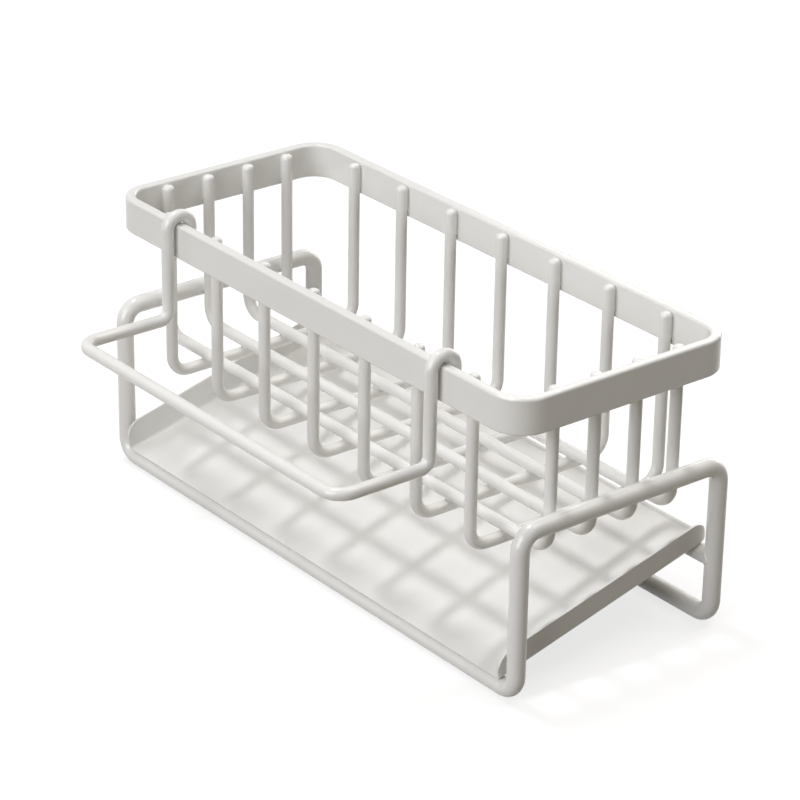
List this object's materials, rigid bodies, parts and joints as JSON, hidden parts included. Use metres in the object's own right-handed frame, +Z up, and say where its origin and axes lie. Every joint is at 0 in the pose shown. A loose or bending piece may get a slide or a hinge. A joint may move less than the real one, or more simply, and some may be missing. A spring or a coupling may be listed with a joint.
{
  "type": "kitchen sink caddy",
  "caption": "Wire basket in a flat rim band on a bent-rod stand, with a hooked-on towel rail in front and a sloping drip tray below.",
  "frame": {"origin": "on the counter under the floor rails, midway between the rails and midway along the basket", "axes": "+X along the basket to the right seen from the front, +Y to the back away from the towel rail, +Z up"},
  "size_m": [0.3068, 0.1819, 0.1498],
  "materials": {
    "frame_coat": "satin off-white powder coat",
    "towel_rail_coat": "satin off-white powder coat",
    "tray_coat": "satin off-white powder coat on sheet"
  },
  "bodies": {
    "caddy": {"rim_band": "frame_coat", "cross_wire_1": "frame_coat", "cross_wire_2": "frame_coat", "cross_wire_3": "frame_coat", "cross_wire_4": "frame_coat", "cross_wire_5": "frame_coat", "cross_wire_6": "frame_coat", "cross_wire_7": "frame_coat", "long_wire_1": "frame_coat", "long_wire_2": "frame_coat", "long_wire_3": "frame_coat", "long_wire_4": "frame_coat", "base_frame": "frame_coat", "tray_bar": "frame_coat"},
    "towel_rail": {"towel_rail": "towel_rail_coat"},
    "drip_tray": {"drip_tray": "tray_coat"}
  },
  "joints": [
    {"name": "tray_slide", "type": "slide", "parent": "caddy", "child": "drip_tray", "axis": [0, -1, 0], "range_m": [0, 0.13]},
    {"name": "towel_rail_lift", "type": "slide", "parent": "caddy", "child": "towel_rail", "axis": [0, 0, 1], "range_m": [0, 0.06]}
  ]
}
